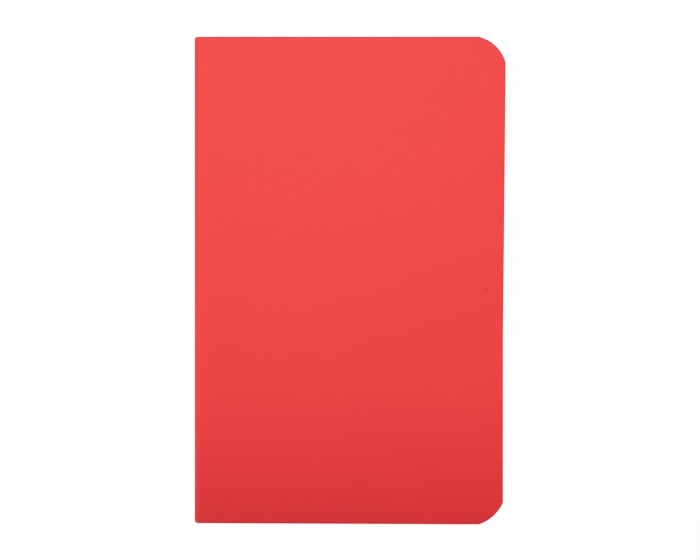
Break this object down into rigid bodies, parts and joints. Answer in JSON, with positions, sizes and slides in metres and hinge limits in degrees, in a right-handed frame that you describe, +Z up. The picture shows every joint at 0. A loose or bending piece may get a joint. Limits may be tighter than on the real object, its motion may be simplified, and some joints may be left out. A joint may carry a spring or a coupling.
{
  "type": "composition notebook",
  "caption": "Pocket composition notebook with a plain coral-red card cover, rounded fore-edge corners and a gathering of leaves lockstitched through the fold; both covers open.",
  "frame": {"origin": "middle of the trimmed outline, on the underside of the back cover", "axes": "+Z up through the closed notebook to the front cover, +Y to the head, -X to the spine and +X to the fore-edge"},
  "size_m": [0.0892, 0.1398, 0.005],
  "materials": {
    "cover_card": "coral-red card dyed through, fine-grained and semi-matte",
    "page_paper": "uncoated ivory writing paper, matte",
    "sewing_thread": "two-ply sewing thread, red, slightly waxed"
  },
  "bodies": {
    "book_block": {"page_block": "page_paper", "cover_spine": "cover_card", "outer_thread": "sewing_thread", "inner_thread": "sewing_thread"},
    "front_panel": {"front_cover": "cover_card"},
    "back_panel": {"back_cover": "cover_card"}
  },
  "joints": [
    {"name": "front_cover_fold", "type": "hinge", "parent": "book_block", "child": "front_panel", "pos_m": [-0.04362, 0, 0.005], "axis": [0, -1, 0], "range_deg": [0, 180]},
    {"name": "back_cover_fold", "type": "hinge", "parent": "book_block", "child": "back_panel", "pos_m": [-0.04362, 0, 0], "axis": [0, 1, 0], "range_deg": [0, 180]}
  ]
}
